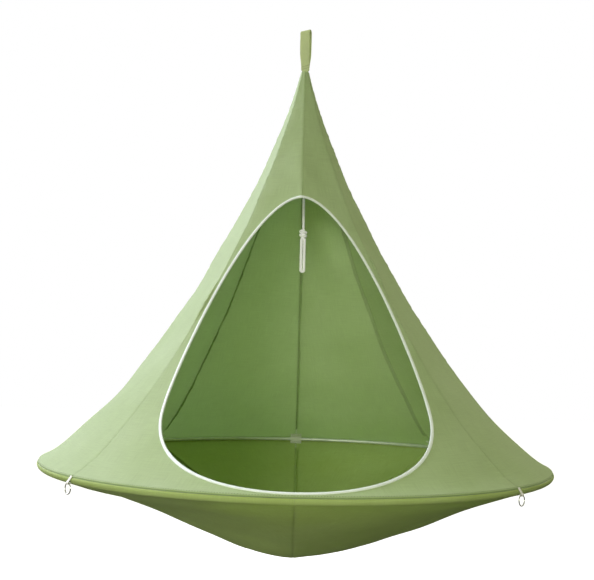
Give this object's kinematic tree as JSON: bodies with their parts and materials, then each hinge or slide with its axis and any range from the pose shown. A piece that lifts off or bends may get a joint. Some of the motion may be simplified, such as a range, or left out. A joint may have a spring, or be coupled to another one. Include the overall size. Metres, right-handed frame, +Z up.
{
  "type": "hanging cone hammock",
  "caption": "Hanging cone hammock for a child: a flared fabric canopy with a piped doorway over a shallow pouch, spread by a hoop and hung from a webbing loop.",
  "frame": {"origin": "inside of the webbing loop's crown, where the hammock hangs on its hook", "axes": "+Z up along the cone's axis, -Y out through the doorway, +X to the right as seen from the front"},
  "size_m": [1, 1, 1.1185],
  "materials": {
    "canopy_cloth": "plain weave, matt",
    "pouch_cloth": "plain weave, matt",
    "white_piping": "satin binding",
    "hoop_metal": "drawn tube, anodised",
    "ferrule_metal": "turned",
    "keeper_cloth": "folded webbing",
    "loop_webbing": "sewn cloth strap",
    "stitching": "dense thread",
    "cotton_cord": "braided cotton",
    "white_tape": "woven tape",
    "bright_steel": "polished wire"
  },
  "bodies": {
    "suspension": {"hang_loop": "loop_webbing"},
    "pod": {"canopy_gore_front_right": "canopy_cloth", "canopy_gore_right_front": "canopy_cloth", "canopy_gore_right_back": "canopy_cloth", "canopy_gore_back_right": "canopy_cloth", "canopy_gore_back_left": "canopy_cloth", "canopy_gore_left_back": "canopy_cloth", "canopy_gore_left_front": "canopy_cloth", "canopy_gore_front_left": "canopy_cloth", "pouch_gore_front_right": "pouch_cloth", "pouch_gore_right_front": "pouch_cloth", "pouch_gore_right_back": "pouch_cloth", "pouch_gore_back_right": "pouch_cloth", "pouch_gore_back_left": "pouch_cloth", "pouch_gore_left_back": "pouch_cloth", "pouch_gore_left_front": "pouch_cloth", "pouch_gore_front_left": "pouch_cloth", "doorway_piping": "white_piping", "hoop_tube_front_right": "hoop_metal", "hoop_tube_back_right": "hoop_metal", "hoop_tube_back_left": "hoop_metal", "hoop_tube_front_left": "hoop_metal", "hoop_ferrule_front": "ferrule_metal", "hoop_ferrule_right": "ferrule_metal", "hoop_ferrule_back": "ferrule_metal", "hoop_ferrule_left": "ferrule_metal", "keeper_tab_front_right": "keeper_cloth", "keeper_tab_right": "keeper_cloth", "keeper_tab_back_right": "keeper_cloth", "keeper_tab_back": "keeper_cloth", "keeper_tab_back_left": "keeper_cloth", "keeper_tab_left": "keeper_cloth", "keeper_tab_front_left": "keeper_cloth", "tether_tape_right": "white_tape", "tether_tape_left": "white_tape", "neck_bartack": "stitching"},
    "pull_cord_body": {"pull_cord": "cotton_cord", "cord_knot": "cotton_cord", "cord_loop": "cotton_cord"},
    "right_ring": {"tether_ring_right": "bright_steel"},
    "left_ring": {"tether_ring_left": "bright_steel"}
  },
  "joints": [
    {"name": "pod_swing", "type": "hinge", "parent": "suspension", "child": "pod", "pos_m": [0, 0, -0.0985], "axis": [1, 0, 0], "range_deg": [-15, 15]},
    {"name": "cord_swing", "type": "hinge", "parent": "pod", "child": "pull_cord_body", "pos_m": [0, 0, -0.0985], "axis": [1, 0, 0], "range_deg": [-10, 10]},
    {"name": "right_ring_swing", "type": "hinge", "parent": "pod", "child": "right_ring", "pos_m": [0.35621, -0.35621, -0.92171], "axis": [-0.7071, -0.7071, 0], "range_deg": [-45, 80]},
    {"name": "left_ring_swing", "type": "hinge", "parent": "pod", "child": "left_ring", "pos_m": [-0.35621, -0.35621, -0.92171], "axis": [-0.7071, 0.7071, 0], "range_deg": [-45, 80]}
  ]
}
